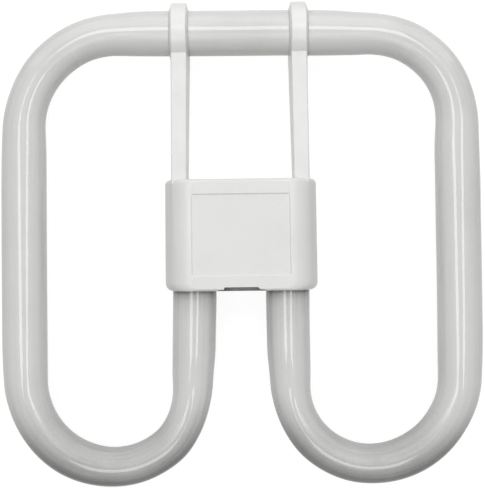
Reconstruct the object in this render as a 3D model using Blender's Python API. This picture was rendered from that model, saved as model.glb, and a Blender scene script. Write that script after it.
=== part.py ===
# Square compact fluorescent lamp, lying on the back of its cap with its front up.
# The origin is under the middle of the lamp, at the level of the cap's back face.
# +X runs across the two legs, +Y to the straight top of the tube, +Z out of the front.

import math

import bmesh
import bpy
from mathutils import Vector
from mathutils.geometry import interpolate_bezier

# Glass tube: lengths are between centre lines
TUBE_DIAMETER = 0.0130
CORNER_TUBE_DIAMETER = 0.0121
BEND_TUBE_DIAMETER = 0.0115
SIDE_SPACING = 0.1250
LEG_SPACING = 0.0268
LOOP_HEIGHT = 0.12405
CORNER_RADIUS = 0.0279
TUBE_PLANE = 0.0184

# Sealed ends of the tube, inside the cap
SEAL_TO_END_WALL = 0.0062
SHOULDER_LENGTH = 0.0035
PINCH_LENGTH = 0.0050
PINCH_WIDTH = 0.0110
PINCH_THICKNESS = 0.0030
PINCH_SQUARENESS = 0.6
EXHAUST_TIP_LENGTH = 0.0028
EXHAUST_TIP_DIAMETER = 0.0026

# Clearances
FIT = 0.0003
SEAM = 0.0003

# Cap, both covers: its length runs along Y
CAP_LENGTH = 0.0312
CAP_TO_TOP_BAR = 0.0580
CAP_CORNER_RADIUS = 0.0015
CAP_EDGE_RADIUS = 0.0012
SLOT_EDGE = 0.0014

# Front cover
FRONT_WALL = 0.0020
SIDE_WALL = 0.0012
END_WALL = 0.0014
INNER_CORNER_RADIUS = 0.0052
SEAM_DROP = 0.0002
LABEL_WIDTH = 0.0279
LABEL_LENGTH = 0.0234
LABEL_DEPTH = 0.0003
NOTCH_WIDTH = 0.0098
NOTCH_HEIGHT = 0.00085
NOTCH_DEPTH = 0.0070

# Arms and clips, moulded on the front cover
ARM_SPACING = 0.0342
ARM_FRONT_WIDTH = 0.0044
ARM_BACK_WIDTH = 0.0054
ARM_DEPTH = 0.0124
ARM_SETBACK = 0.00015
ARM_WALL = 0.0012
ARM_EDGE_RADIUS = 0.0004
CLIP_WALL = 0.0020
CLIP_ROOT_WIDTH = 0.0056
CLIP_FACE_WIDTH = 0.0044
CLIP_WRAP = math.radians(122)

# Rear cover
REAR_WALL = 0.0024
REAR_FLOOR = 0.0016
REAR_DRAFT = 0.0004
REAR_EDGE_RADIUS = 0.0010
LIP_HEIGHT = 0.0026
RECESS_WIDTH = 0.0210
RECESS_LENGTH = 0.0130
RECESS_DEPTH = 0.0080
RECESS_WALL = 0.0013
RECESS_ROOF = 0.0015
RIB_THICKNESS = 0.0016
RIB_TO_END = 0.0039
RIB_TO_PINS = 0.0045
RIB_DROP = 0.0014

# Contact pins
PIN_SPACING = 0.0080
PIN_DIAMETER = 0.0024
PIN_TIP_DROP = 0.0010
PIN_FLANGE_DIAMETER = 0.0044
PIN_FLANGE_THICKNESS = 0.0008
PIN_TAIL_DIAMETER = 0.0018
PIN_TAIL_LENGTH = 0.0020

# Starter and its capacitor
STARTER_DIAMETER = 0.0075
STARTER_LENGTH = 0.0162
STARTER_NECK_DIAMETER = 0.0044
STARTER_NECK_LENGTH = 0.0011
STARTER_LEAD_SPACING = 0.0020
CAPACITOR_WIDTH = 0.0090
CAPACITOR_LENGTH = 0.0054
CAPACITOR_THICKNESS = 0.0040
CAPACITOR_LEAD_SPACING = 0.0080
CAPACITOR_EDGE_RADIUS = 0.0004
COMPONENT_LEAD_DIAMETER = 0.0005
STARTER_LEAD_EXIT = 0.0030
CAPACITOR_LEAD_EXIT = 0.0062
COMPONENT_LEAD_ENTRY = 0.0040

# Lead wires, their sleeves and the ferrules that join them
LEAD_DIAMETER = 0.0006
LEAD_SPACING = 0.0066
SLEEVE_WALL = 0.00035
PIN_LEAD_RISE = 0.0057
PIN_LEAD_REACH = 0.0070
PIN_LEAD_DROP = 0.0061
STARTER_LEAD_RISE = 0.0052
STARTER_LEAD_REACH = 0.0060
FERRULE_LENGTH = 0.0040
FERRULE_INNER_DIAMETER = 0.0023
FERRULE_WALL = 0.0003
FERRULE_CRIMP = 0.0002
FERRULE_SPACING = 0.0130
FERRULE_RISE = 0.0010
FERRULE_TO_END_WALL = 0.0072

# Facets
TUBE_SIDES = 24
BEND_STEPS = 16
CORNER_STEPS = 8
CLIP_STEPS = 16
ROUND_SIDES = 48
PIN_SIDES = 20
WIRE_SIDES = 8
WIRE_STEPS = 14
EDGE_STEPS = 4
SHARP_ANGLE = math.radians(35)
TIP_ANGLE = math.radians(75)

X, Y, Z = range(3)

# Worked out from the sizes above
tube_radius = TUBE_DIAMETER / 2
glass_hole_radius = tube_radius + FIT
side_x = SIDE_SPACING / 2
leg_x = LEG_SPACING / 2
bend_radius = (side_x - leg_x) / 2

clip_outer_radius = glass_hole_radius + CLIP_WALL
overall_height = clip_outer_radius + LOOP_HEIGHT + BEND_TUBE_DIAMETER / 2
top_bar_y = overall_height / 2 - clip_outer_radius
bend_y = top_bar_y - LOOP_HEIGHT + bend_radius
cap_y = top_bar_y - CAP_TO_TOP_BAR

cap_half_width = leg_x + glass_hole_radius + SLOT_EDGE
cap_half_length = CAP_LENGTH / 2
cap_front = TUBE_PLANE + glass_hole_radius + FRONT_WALL
seam_height = TUBE_PLANE - tube_radius - SEAM_DROP
cavity_half_width = cap_half_width - SIDE_WALL
cavity_half_length = cap_half_length - END_WALL

pinch_end_y = cavity_half_length - SEAL_TO_END_WALL
pinch_y = pinch_end_y - PINCH_LENGTH
shoulder_y = pinch_y - SHOULDER_LENGTH
rib_places = (RIB_TO_END - cap_half_length, -RIB_TO_PINS)

arm_x = ARM_SPACING / 2
arm_front = TUBE_PLANE + tube_radius - ARM_SETBACK
arm_back = arm_front - ARM_DEPTH

rear_top = seam_height - SEAM
lip_half_width = cavity_half_width - FIT
lip_half_length = cavity_half_length - FIT
lip_top = rear_top + LIP_HEIGHT
tower_top = RECESS_DEPTH + RECESS_ROOF
pin_tail_top = tower_top + SEAM + PIN_FLANGE_THICKNESS + PIN_TAIL_LENGTH

starter_end_y = FIT - cavity_half_length
capacitor_y = cavity_half_length - FIT - CAPACITOR_LENGTH / 2
ferrule_x = FERRULE_SPACING / 2
ferrule_y = cavity_half_length - FERRULE_TO_END_WALL
ferrule_z = TUBE_PLANE + FERRULE_RISE
component_lead_gap = COMPONENT_LEAD_DIAMETER / 2 + FIT / 2
capacitor_z = ferrule_z + component_lead_gap


def clear_scene():
    for item in list(bpy.data.objects):
        bpy.data.objects.remove(item, do_unlink=True)


def new_material(name, color, roughness, metallic=0.0):
    material = bpy.data.materials.new(name)
    material.use_nodes = True
    surface = material.node_tree.nodes["Principled BSDF"]
    surface.inputs["Base Color"].default_value = (*color, 1.0)
    surface.inputs["Roughness"].default_value = roughness
    surface.inputs["Metallic"].default_value = metallic
    return material


def new_empty(name, location, parent=None):
    empty = bpy.data.objects.new(name, None)
    empty.empty_display_size = 0.01
    empty.location = location
    empty.parent = parent
    bpy.context.collection.objects.link(empty)
    return empty


# One closed body from points and faces, smooth except at its sharp edges.
def new_piece(name, shape, material, parent, location=(0, 0, 0)):
    points, faces = shape
    mesh = bpy.data.meshes.new(name)
    mesh.from_pydata(points, [], faces)
    shell = bmesh.new()
    shell.from_mesh(mesh)
    bmesh.ops.recalc_face_normals(shell, faces=shell.faces)
    shell.to_mesh(mesh)
    shell.free()
    mesh.shade_smooth()
    mesh.set_sharp_from_angle(angle=SHARP_ANGLE)
    if material:
        mesh.materials.append(material)
    piece = bpy.data.objects.new(name, mesh)
    piece.location = location
    piece.parent = parent
    bpy.context.collection.objects.link(piece)
    return piece


# Joins a hidden helper body to a piece, or cuts it away.
def combine(piece, operation, name, shape, location=(0, 0, 0)):
    helper = new_piece(f"{piece.name}_{name}", shape, None, piece.parent, location)
    helper.hide_render = True
    helper.display_type = "WIRE"
    modifier = piece.modifiers.new(name, "BOOLEAN")
    modifier.operation = operation
    modifier.solver = "EXACT"
    modifier.object = helper


# Quads between rings of equally many points. The ends are closed, or the last ring meets the first.
def skin(rings, loop=False):
    count = len(rings[0])
    points = [point for ring in rings for point in ring]
    faces = []
    for span in range(len(rings) if loop else len(rings) - 1):
        low = span * count
        high = (span + 1) % len(rings) * count
        for step in range(count):
            after = (step + 1) % count
            faces.append((low + step, low + after, high + after, high + step))
    if not loop:
        faces.append(tuple(reversed(range(count))))
        faces.append(tuple(range(len(points) - count, len(points))))
    return points, faces


def box(low, high):
    corners = [(low[0], low[1]), (high[0], low[1]), (high[0], high[1]), (low[0], high[1])]
    return skin([[Vector((x, y, z)) for x, y in corners] for z in (low[2], high[2])])


# An outline in X and Z, drawn out along Y.
def bar(outline, start, end):
    return skin([[Vector((x, y, z)) for x, z in outline] for y in (start, end)])


def arc(center, radius, start, end, steps):
    angles = [start + (end - start) * step / steps for step in range(steps + 1)]
    return [
        (center[0] + radius * math.cos(angle), center[1] + radius * math.sin(angle))
        for angle in angles
    ]


def rounded_rectangle(half_width, half_length, corner, height):
    outline = []
    for quarter in range(4):
        start = quarter * math.pi / 2
        side_width = half_width - corner if quarter in (0, 3) else corner - half_width
        side_length = half_length - corner if quarter in (0, 1) else corner - half_length
        outline += arc((side_width, side_length), corner, start, start + math.pi / 2, EDGE_STEPS)
    return [Vector((x, y, height)) for x, y in outline]


# A block with rounded corners whose long front edges have one radius and short front edges another.
def domed_block(half_width, half_length, corner, back, front, side_radius, end_radius):
    rings = [rounded_rectangle(half_width, half_length, corner, back)]
    side_center = (half_width - side_radius, front - side_radius)
    for x, z in arc(side_center, side_radius, 0, math.pi / 2, 2 * EDGE_STEPS):
        over = max(z - (front - end_radius), 0)
        inset = end_radius - math.sqrt(max(end_radius**2 - over**2, 0))
        rings.append(rounded_rectangle(x, half_length - inset, corner, z))
    return skin(rings)


# The rings of a round body about a local axis, from pairs of place and radius.
def turned(profile, axis, sides):
    first, second = [index for index in (X, Y, Z) if index != axis]
    rings = []
    for place, radius in profile:
        ring = [Vector() for side in range(sides)]
        for side, point in enumerate(ring):
            angle = math.tau * side / sides
            point[axis] = place
            point[first] = radius * math.cos(angle)
            point[second] = radius * math.sin(angle)
        rings.append(ring)
    return rings


# The profile of a rounded tip: its end is at the given place, and inward is the sign of the way in.
def rounded_tip(end, radius, inward):
    profile = []
    for width, height in arc((0, 0), radius, TIP_ANGLE, 0, EDGE_STEPS):
        profile.append((end + inward * (radius - height), width))
    return profile


# Rings square to a path, turned as little as possible from one to the next.
def swept(path, radius):
    rings = []
    across = None
    for index, place in enumerate(path):
        before = path[max(index - 1, 0)]
        after = path[min(index + 1, len(path) - 1)]
        along = (after - before).normalized()
        across = along.orthogonal() if across is None else across
        across = (across - along * across.dot(along)).normalized()
        up = along.cross(across)
        angles = [math.tau * side / WIRE_SIDES for side in range(WIRE_SIDES)]
        rings.append([place + (across * math.cos(a) + up * math.sin(a)) * radius for a in angles])
    return rings


# A bend of the tube, which narrows smoothly from the bend's ends to its middle.
def bend_rings(center, radius, narrow_radius, start, end, steps):
    rings = []
    for step in range(steps + 1):
        share = step / steps
        angle = start + (end - start) * share
        outward = Vector((math.cos(angle), math.sin(angle), 0))
        thickness = tube_radius - (tube_radius - narrow_radius) * math.sin(math.pi * share) ** 2
        rings.append(tube_ring(center + outward * radius, outward, thickness, thickness))
    return rings


# One ring of the tube: square is 1 for an ellipse, and less for a ring with flatter sides.
def tube_ring(center, across, half_across, half_up, square=1.0):
    ring = []
    for side in range(TUBE_SIDES):
        angle = math.tau * side / TUBE_SIDES
        cosine = math.copysign(abs(math.cos(angle)) ** square, math.cos(angle))
        sine = math.copysign(abs(math.sin(angle)) ** square, math.sin(angle))
        ring.append(center + across * (half_across * cosine) + Vector((0, 0, half_up * sine)))
    return ring


# The sealed end of one leg, from the tip of its exhaust tube down to the round tube.
def pinch_rings(x, across):
    tip_radius = EXHAUST_TIP_DIAMETER / 2
    end_y = cap_y + pinch_end_y
    tip = rounded_tip(end_y + EXHAUST_TIP_LENGTH, tip_radius, -1) + [(end_y, tip_radius)]
    rings = [tube_ring(Vector((x, place, 0)), across, radius, radius) for place, radius in tip]
    flat_square = 1 - PINCH_SQUARENESS
    half_thickness = PINCH_THICKNESS / 2
    half_width = PINCH_WIDTH / 2
    rings.append(tube_ring(Vector((x, end_y, 0)), across, half_thickness, half_width, flat_square))
    shoulder_steps = 4
    for step in range(shoulder_steps + 1):
        share = step / shoulder_steps
        ease = share * share * (3 - 2 * share)
        center = Vector((x, cap_y + pinch_y - SHOULDER_LENGTH * share, 0))
        half_across = half_thickness + (tube_radius - half_thickness) * ease
        half_up = half_width + (tube_radius - half_width) * ease
        square = flat_square + (1 - flat_square) * ease
        rings.append(tube_ring(center, across, half_across, half_up, square))
    return rings


# From the right leg round the right loop, along the top and back to the left leg.
def add_discharge_tube(material, parent):
    right = Vector((1, 0, 0))
    loop_x = (side_x + leg_x) / 2
    corner_x = side_x - CORNER_RADIUS
    corner_y = top_bar_y - CORNER_RADIUS
    bend = (bend_radius, BEND_TUBE_DIAMETER / 2)
    corner = (CORNER_RADIUS, CORNER_TUBE_DIAMETER / 2)
    rings = pinch_rings(leg_x, -right)
    rings += bend_rings(Vector((loop_x, bend_y, 0)), *bend, math.pi, math.tau, BEND_STEPS)
    rings += bend_rings(Vector((corner_x, corner_y, 0)), *corner, 0, math.pi / 2, CORNER_STEPS)
    rings += bend_rings(Vector((-corner_x, corner_y, 0)), *corner, math.pi / 2, math.pi, CORNER_STEPS)
    rings += bend_rings(Vector((-loop_x, bend_y, 0)), *bend, math.pi, math.tau, BEND_STEPS)
    rings += reversed(pinch_rings(-leg_x, right))
    new_piece("discharge_tube", skin(rings), material, parent, (0, 0, TUBE_PLANE))


# The slot for one leg in the cover's end wall, round at the front and open at the back.
def leg_slot(x):
    outline = arc((x, TUBE_PLANE), glass_hole_radius, 0, math.pi, ROUND_SIDES // 2)
    below = seam_height - END_WALL
    outline += [(x - glass_hole_radius, below), (x + glass_hole_radius, below)]
    return bar(outline, -cap_half_length - END_WALL, -cap_half_length + 2 * END_WALL)


# The section of an arm, wider at its back. Inset, it is the section of the channel in the arm.
def arm_outline(x, inset=0.0):
    half_front = ARM_FRONT_WIDTH / 2 - inset
    half_back = ARM_BACK_WIDTH / 2 - inset
    front = arm_front - inset
    back = arm_back - inset
    edge = min(ARM_EDGE_RADIUS, half_front / 2)
    outline = arc((x + half_front - edge, front - edge), edge, 0, math.pi / 2, EDGE_STEPS // 2)
    outline += arc((x - half_front + edge, front - edge), edge, math.pi / 2, math.pi, EDGE_STEPS // 2)
    return outline + [(x - half_back, back), (x + half_back, back)]


# The band round the top of the tube. It starts inside the glass, and the hole for the glass trims it.
def clip_band(x):
    inner = glass_hole_radius - FIT - CLIP_WALL / 2
    taper = (CLIP_ROOT_WIDTH - CLIP_FACE_WIDTH) / (clip_outer_radius - glass_hole_radius)
    half_inner = (CLIP_ROOT_WIDTH + taper * (glass_hole_radius - inner)) / 2
    half_face = CLIP_FACE_WIDTH / 2
    edge = ARM_EDGE_RADIUS
    rim = clip_outer_radius - edge
    profile = [(half_inner, inner)]
    profile += arc((half_face - edge, rim), edge, 0, math.pi / 2, EDGE_STEPS // 2)
    profile += arc((edge - half_face, rim), edge, math.pi / 2, math.pi, EDGE_STEPS // 2)
    profile += [(-half_inner, inner)]
    rings = []
    for step in range(CLIP_STEPS + 1):
        angle = CLIP_WRAP * (2 * step / CLIP_STEPS - 1)
        rings.append([
            Vector((x + width, CAP_TO_TOP_BAR + r * math.sin(angle), TUBE_PLANE + r * math.cos(angle)))
            for width, r in profile
        ])
    return skin(rings)


# The front shell of the cap with its two arms and the clips at their ends.
def add_front_cover(material, parent):
    side_radius = cap_half_width - leg_x
    blank = domed_block(
        cap_half_width, cap_half_length, CAP_CORNER_RADIUS, seam_height, cap_front, side_radius,
        CAP_EDGE_RADIUS,
    )
    cover = new_piece("front_cover", blank, material, parent)

    lip_end = CAP_TO_TOP_BAR - glass_hole_radius * math.sin(CLIP_WRAP)
    for side, x in (("left", -arm_x), ("right", arm_x)):
        arm = bar(arm_outline(x), cavity_half_length, lip_end)
        channel_start = cap_half_length + ARM_WALL
        channel_end = CAP_TO_TOP_BAR - clip_outer_radius
        channel = bar(arm_outline(x, ARM_WALL), channel_start, channel_end)
        combine(cover, "UNION", f"arm_{side}", arm)
        combine(cover, "UNION", f"clip_{side}", clip_band(x))
        combine(cover, "DIFFERENCE", f"channel_{side}", channel)
    hole_end = arm_x + CLIP_ROOT_WIDTH
    glass_hole = turned([(-hole_end, glass_hole_radius), (hole_end, glass_hole_radius)], X, ROUND_SIDES)
    combine(cover, "DIFFERENCE", "glass_hole", skin(glass_hole), (0, CAP_TO_TOP_BAR, TUBE_PLANE))

    cavity = domed_block(
        cavity_half_width, cavity_half_length, CAP_CORNER_RADIUS / 2, seam_height - END_WALL,
        cap_front - FRONT_WALL, INNER_CORNER_RADIUS, CAP_EDGE_RADIUS / 2,
    )
    combine(cover, "DIFFERENCE", "cavity", cavity)
    for side, x in (("left", -leg_x), ("right", leg_x)):
        combine(cover, "DIFFERENCE", f"slot_{side}", leg_slot(x))

    half_label = (LABEL_WIDTH / 2, LABEL_LENGTH / 2)
    label = box(
        (-half_label[0], -half_label[1], cap_front - LABEL_DEPTH),
        (half_label[0], half_label[1], cap_front + LABEL_DEPTH),
    )
    combine(cover, "DIFFERENCE", "label_recess", label)
    notch = box(
        (-NOTCH_WIDTH / 2, -cap_half_length - NOTCH_HEIGHT, cap_front - NOTCH_DEPTH),
        (NOTCH_WIDTH / 2, -cap_half_length + NOTCH_HEIGHT, cap_front + NOTCH_HEIGHT),
    )
    combine(cover, "DIFFERENCE", "notch", notch)


# The outside of the rear shell: a drafted block with a lip that enters the front cover.
def rear_outside():
    rings = []
    for inset, height in arc((REAR_EDGE_RADIUS, REAR_EDGE_RADIUS), REAR_EDGE_RADIUS,
                             1.5 * math.pi, math.pi, EDGE_STEPS):
        draft = REAR_DRAFT * (1 - height / rear_top) + inset
        rings.append(rounded_rectangle(
            cap_half_width - draft, cap_half_length - draft, CAP_CORNER_RADIUS, height))
    rings.append(rounded_rectangle(cap_half_width, cap_half_length, CAP_CORNER_RADIUS, rear_top))
    for height in (rear_top, lip_top):
        rings.append(rounded_rectangle(
            lip_half_width, lip_half_length, CAP_CORNER_RADIUS / 2, height))
    return skin(rings)


# The rear shell holds both legs and the starter in ribs, and the pins in a recess for the lampholder.
def add_rear_cover(material, parent):
    cover = new_piece("rear_cover", rear_outside(), material, parent)
    inside = [
        rounded_rectangle(
            cap_half_width - REAR_WALL, cap_half_length - REAR_WALL, CAP_CORNER_RADIUS / 2, height)
        for height in (REAR_FLOOR, lip_top + REAR_FLOOR)
    ]
    combine(cover, "DIFFERENCE", "inside", skin(inside))

    half_width = RECESS_WIDTH / 2
    half_length = RECESS_LENGTH / 2
    tower = box(
        (-half_width - RECESS_WALL, -half_length - RECESS_WALL, REAR_FLOOR / 2),
        (half_width + RECESS_WALL, half_length + RECESS_WALL, tower_top),
    )
    combine(cover, "UNION", "recess_walls", tower)

    rib_half_width = cap_half_width - REAR_WALL + FIT
    side_top = lip_top - FIT
    middle_top = TUBE_PLANE - RIB_DROP
    rib_outline = [
        (-rib_half_width, REAR_FLOOR / 2), (rib_half_width, REAR_FLOOR / 2),
        (rib_half_width, side_top), (leg_x, side_top), (leg_x, middle_top),
        (-leg_x, middle_top), (-leg_x, side_top), (-rib_half_width, side_top),
    ]
    for number, middle in enumerate(rib_places, 1):
        start = middle - RIB_THICKNESS / 2
        combine(cover, "UNION", f"rib_{number}", bar(rib_outline, start, start + RIB_THICKNESS))

    leg_start = -cap_half_length - REAR_WALL
    for side, x in (("left", -leg_x), ("right", leg_x)):
        leg = turned([(leg_start, glass_hole_radius), (shoulder_y, glass_hole_radius)], Y, ROUND_SIDES)
        combine(cover, "DIFFERENCE", f"leg_{side}", skin(leg), (x, 0, TUBE_PLANE))
    starter_hole = STARTER_DIAMETER / 2 + FIT
    starter = turned([(starter_end_y, starter_hole), (shoulder_y, starter_hole)], Y, ROUND_SIDES // 2)
    combine(cover, "DIFFERENCE", "starter", skin(starter), (0, 0, TUBE_PLANE))

    recess = box((-half_width, -half_length, -RECESS_DEPTH), (half_width, half_length, RECESS_DEPTH))
    combine(cover, "DIFFERENCE", "recess", recess)
    hole_radius = PIN_DIAMETER / 2 + FIT
    for side, x in (("left", -PIN_SPACING / 2), ("right", PIN_SPACING / 2)):
        hole = turned([(REAR_FLOOR, hole_radius), (tower_top + REAR_FLOOR, hole_radius)], Z, PIN_SIDES)
        combine(cover, "DIFFERENCE", f"pin_hole_{side}", skin(hole), (x, 0, 0))


# A contact pin: rounded tip, shank through the roof of the recess, flange on the roof, tail.
def add_contact_pin(side, x, material, parent):
    radius = PIN_DIAMETER / 2
    profile = rounded_tip(PIN_TIP_DROP, radius, 1)
    flange_start = tower_top + SEAM
    flange_end = flange_start + PIN_FLANGE_THICKNESS
    profile += [
        (flange_start, radius), (flange_start, PIN_FLANGE_DIAMETER / 2),
        (flange_end, PIN_FLANGE_DIAMETER / 2), (flange_end, PIN_TAIL_DIAMETER / 2),
        (pin_tail_top, PIN_TAIL_DIAMETER / 2),
    ]
    pin = skin(turned(profile, Z, PIN_SIDES))
    new_piece(f"contact_pin_{side}", pin, material, parent, (x, 0, 0))


# A component's lead leaves by the given length along Y, and enters the back end of its ferrule.
def component_lead(start, leave, end):
    start_handle = start + Vector((0, leave, 0))
    end_handle = end - Vector((0, COMPONENT_LEAD_ENTRY, 0))
    path = interpolate_bezier(start, start_handle, end_handle, end, WIRE_STEPS)
    return skin(swept(path, COMPONENT_LEAD_DIAMETER / 2))


# The starter's glass bulb, with one lead on each side of its neck.
def add_starter(material, parent):
    radius = STARTER_DIAMETER / 2
    neck_radius = STARTER_NECK_DIAMETER / 2
    neck_start = STARTER_LENGTH - STARTER_NECK_LENGTH
    profile = rounded_tip(0, radius, 1)
    profile += [
        (neck_start - (radius - neck_radius), radius), (neck_start, neck_radius),
        (STARTER_LENGTH, neck_radius),
    ]
    bulb = skin(turned(profile, Y, PIN_SIDES))
    place = Vector((0, starter_end_y, TUBE_PLANE))
    starter = new_piece("starter_bulb", bulb, material, parent, place)
    end_height = ferrule_z - component_lead_gap
    for side, sign in (("left", -1), ("right", 1)):
        start = Vector((sign * STARTER_LEAD_SPACING / 2, neck_start, 0))
        end = Vector((sign * ferrule_x, ferrule_y - FIT, end_height)) - place
        lead = component_lead(start, STARTER_LEAD_EXIT, end)
        combine(starter, "UNION", f"lead_{side}", lead, place)


# The capacitor lies against the end wall, with its leads towards the starter.
def add_capacitor(material, parent):
    half_width = CAPACITOR_WIDTH / 2
    half_length = CAPACITOR_LENGTH / 2
    half_thickness = CAPACITOR_THICKNESS / 2
    edge = CAPACITOR_EDGE_RADIUS
    outline = []
    for quarter, (x, z) in enumerate(((1, 1), (-1, 1), (-1, -1), (1, -1))):
        start = quarter * math.pi / 2
        center = (x * (half_width - edge), z * (half_thickness - edge))
        outline += arc(center, edge, start, start + math.pi / 2, EDGE_STEPS // 2)
    place = Vector((0, capacitor_y, capacitor_z))
    body = bar(outline, -half_length, half_length)
    capacitor = new_piece("starter_capacitor", body, material, parent, place)
    for side, sign in (("left", -1), ("right", 1)):
        start = Vector((sign * CAPACITOR_LEAD_SPACING / 2, edge - half_length, 0))
        end = Vector((sign * ferrule_x, ferrule_y - FIT, capacitor_z)) - place
        lead = component_lead(start, -CAPACITOR_LEAD_EXIT, end)
        combine(capacitor, "UNION", f"lead_{side}", lead, place)


# An open ferrule, squeezed in its middle round the ends of the wires in it.
def add_ferrule(side, sign, material, parent):
    inner = FERRULE_INNER_DIAMETER / 2
    outer = inner + FERRULE_WALL
    half = FERRULE_LENGTH / 2
    squeezes = [(-half, 0), (-half / 2, 0), (0, FERRULE_CRIMP), (half / 2, 0), (half, 0)]
    profile = [(place, outer - squeeze) for place, squeeze in squeezes]
    profile += [(place, inner - squeeze) for place, squeeze in reversed(squeezes)]
    ferrule = skin(turned(profile, Y, PIN_SIDES), loop=True)
    place = (sign * ferrule_x, ferrule_y, ferrule_z)
    new_piece(f"crimp_ferrule_{side}", ferrule, material, parent, place)


# One lead of an electrode with the insulating sleeve round most of it.
def add_lead(name, path, sleeved_steps, wire_material, sleeve_material, parent):
    start = path[0].copy()
    local = [point - start for point in path]
    wire = skin(swept(local, LEAD_DIAMETER / 2))
    new_piece(name, wire, wire_material, parent, start)
    first, last = sleeved_steps
    inner = LEAD_DIAMETER / 2 + FIT
    outside = swept(local, inner + SLEEVE_WALL)[first:last]
    inside = swept(local, inner)[first:last]
    sleeve = skin(outside + inside[::-1], loop=True)
    new_piece(f"{name}_sleeve", sleeve, sleeve_material, parent, start)


# From the pinch seal of one leg: the back lead goes to the pin, the front lead to the ferrule.
def add_leads(side, sign, wire_material, sleeve_material, parent):
    up = Vector((0, 0, 1))
    ahead = Vector((0, 1, 0))
    exit_point = Vector((sign * leg_x, pinch_end_y + SEAM, TUBE_PLANE))
    half_spacing = up * (LEAD_SPACING / 2)

    back_start = exit_point - half_spacing
    pin_end = Vector((sign * PIN_SPACING / 2, 0, pin_tail_top + SEAM + LEAD_DIAMETER / 2))
    rise = ahead * PIN_LEAD_RISE
    reach = ahead * PIN_LEAD_REACH + up * PIN_LEAD_DROP
    path = interpolate_bezier(back_start, back_start + rise, pin_end + reach, pin_end, WIRE_STEPS)
    add_lead(f"pin_lead_{side}", path, (1, WIRE_STEPS - 2), wire_material, sleeve_material, parent)

    front_start = exit_point + half_spacing
    ferrule_end = Vector((sign * ferrule_x, ferrule_y + FIT, ferrule_z))
    rise = ahead * STARTER_LEAD_RISE
    reach = ahead * STARTER_LEAD_REACH
    path = interpolate_bezier(front_start, front_start + rise, ferrule_end + reach, ferrule_end, WIRE_STEPS)
    add_lead(f"starter_lead_{side}", path, (1, WIRE_STEPS - 3), wire_material, sleeve_material, parent)


def build_lamp():
    clear_scene()
    lamp = new_empty("lamp", (0, 0, 0))
    cap = new_empty("cap", (0, cap_y, 0), lamp)

    coated_glass = new_material("coated_glass", (0.80, 0.80, 0.78), 0.08)
    white_plastic = new_material("white_plastic", (0.76, 0.76, 0.74), 0.40)
    plated_brass = new_material("plated_brass", (0.74, 0.71, 0.62), 0.25, 1.0)
    clear_glass = new_material("clear_glass", (0.70, 0.74, 0.74), 0.05)
    yellow_film = new_material("yellow_film", (0.70, 0.50, 0.12), 0.35)
    tinned_wire = new_material("tinned_wire", (0.72, 0.71, 0.68), 0.30, 1.0)
    woven_sleeve = new_material("woven_sleeve", (0.78, 0.76, 0.68), 0.85)

    add_discharge_tube(coated_glass, lamp)
    add_front_cover(white_plastic, cap)
    add_rear_cover(white_plastic, cap)
    add_starter(clear_glass, cap)
    add_capacitor(yellow_film, cap)
    for side, sign in (("left", -1), ("right", 1)):
        add_contact_pin(side, sign * PIN_SPACING / 2, plated_brass, cap)
        add_ferrule(side, sign, plated_brass, cap)
        add_leads(side, sign, tinned_wire, woven_sleeve, cap)


build_lamp()
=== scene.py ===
import math

import bpy
import numpy as np
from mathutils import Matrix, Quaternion, Vector


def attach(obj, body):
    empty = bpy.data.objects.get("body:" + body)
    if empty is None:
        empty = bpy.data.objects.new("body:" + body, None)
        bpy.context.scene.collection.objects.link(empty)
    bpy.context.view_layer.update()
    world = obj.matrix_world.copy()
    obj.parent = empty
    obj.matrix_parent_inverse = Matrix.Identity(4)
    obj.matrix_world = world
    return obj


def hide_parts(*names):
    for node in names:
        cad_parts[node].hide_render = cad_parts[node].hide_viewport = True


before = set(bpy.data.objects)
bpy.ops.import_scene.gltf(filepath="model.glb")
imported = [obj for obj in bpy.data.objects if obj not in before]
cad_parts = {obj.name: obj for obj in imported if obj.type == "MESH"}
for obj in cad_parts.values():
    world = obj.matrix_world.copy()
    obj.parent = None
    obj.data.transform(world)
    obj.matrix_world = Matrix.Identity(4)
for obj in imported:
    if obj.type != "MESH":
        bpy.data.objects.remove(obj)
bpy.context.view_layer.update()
bodyName = "root"


def quadGrid(rows, columns):
    # Every cell of a grid becomes a quad. The columns wrap round.
    row, column = np.meshgrid(np.arange(rows - 1), np.arange(columns), indexing="ij")
    nextColumn = (column + 1) % columns
    corners = [row * columns + column, row * columns + nextColumn,
               (row + 1) * columns + nextColumn, (row + 1) * columns + column]
    return np.stack(corners, axis=-1).reshape(-1, 4)


def signedVolume(points, faces):
    # Sum over the faces, each split into a fan, of the tetrahedra to the origin: positive when faces look outwards.
    total = 0.0
    for size in {len(face) for face in faces}:
        same = points[np.array([face for face in faces if len(face) == size])]
        for second in range(1, size - 1):
            total += np.einsum("ij,ij->", same[:, 0], np.cross(same[:, second], same[:, second + 1])) / 6
    return total


def makeObject(name, points, faces, material=None):
    # A smooth-shaded mesh object whose faces look outwards.
    mesh = bpy.data.meshes.new(name)
    faces = [tuple(face) for face in faces]
    if signedVolume(points, faces) < 0:
        faces = [face[::-1] for face in faces]
    mesh.from_pydata(points.tolist(), [], faces)
    mesh.shade_smooth()
    if material:
        mesh.materials.append(material)
    made = bpy.data.objects.new(name, mesh)
    bpy.context.scene.collection.objects.link(made)
    return made


def skinRings(name, rings, material=None):
    # A strip of quads over the rings, closed by one flat cap on each end.
    count, columns = rings.shape[:2]
    faces = quadGrid(count, columns).tolist()
    faces.append(list(range(columns))[::-1])
    faces.append(list(range((count - 1) * columns, count * columns)))
    return makeObject(name, rings.reshape(-1, 3), faces, material)


def arcPoints(centre, radius, start, end, steps):
    # Points at even angles on a circle.
    angle = np.linspace(start, end, steps + 1)
    return np.stack([centre[0] + radius * np.cos(angle), centre[1] + radius * np.sin(angle)], axis=1)


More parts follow.
